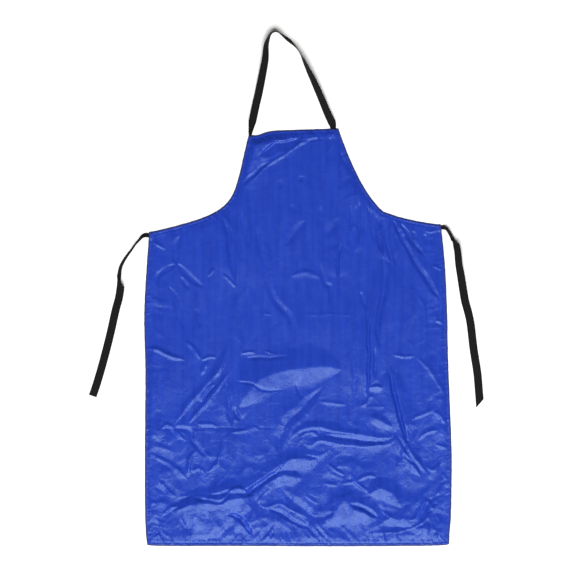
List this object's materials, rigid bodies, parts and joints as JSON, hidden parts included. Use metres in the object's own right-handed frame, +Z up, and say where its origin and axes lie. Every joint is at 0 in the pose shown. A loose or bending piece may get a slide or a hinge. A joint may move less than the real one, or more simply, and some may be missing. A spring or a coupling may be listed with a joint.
{
  "type": "waterproof bib apron",
  "caption": "Glossy blue coated-cloth bib apron laid out flat, with turned and stitched hems, a black tape neck strap and two waist ties that fold about their seams.",
  "frame": {"origin": "under the middle of the panel, on the surface that the apron lies on", "axes": "+Z up out of the front of the cloth, +Y towards the neck, +X towards the right tie"},
  "size_m": [0.9671, 1.2611, 0.02],
  "materials": {
    "coated_cloth": "glossy",
    "tape": "matte",
    "stitching": "satin"
  },
  "bodies": {
    "apron": {"body_panel": "coated_cloth", "bib_hem": "coated_cloth", "left_armhole_hem": "coated_cloth", "right_armhole_hem": "coated_cloth", "left_side_hem": "coated_cloth", "right_side_hem": "coated_cloth", "skirt_hem": "coated_cloth", "bib_seam": "stitching", "left_armhole_seam": "stitching", "right_armhole_seam": "stitching", "left_side_seam": "stitching", "right_side_seam": "stitching", "skirt_seam": "stitching", "neck_strap_left_sewn_end": "tape", "neck_strap_right_sewn_end": "tape", "left_tie_sewn_end": "tape", "right_tie_sewn_end": "tape", "neck_strap_left_tack": "stitching", "neck_strap_right_tack": "stitching", "left_tie_tack": "stitching", "right_tie_tack": "stitching"},
    "neck_strap": {"neck_strap": "tape"},
    "left_tie": {"left_tie": "tape"},
    "right_tie": {"right_tie": "tape"}
  },
  "joints": [
    {"name": "neck_strap_fold", "type": "hinge", "parent": "apron", "child": "neck_strap", "pos_m": [-0.10863, 0.49596, 0.0015], "axis": [0.9964, 0.0854, 0], "range_deg": [0, 135]},
    {"name": "left_tie_fold", "type": "hinge", "parent": "apron", "child": "left_tie", "pos_m": [-0.366, 0.24454, 0.0015], "axis": [0, 1, 0], "range_deg": [0, 120]},
    {"name": "right_tie_fold", "type": "hinge", "parent": "apron", "child": "right_tie", "pos_m": [0.35159, 0.26452, 0.0015], "axis": [0, -1, 0], "range_deg": [0, 120]}
  ]
}
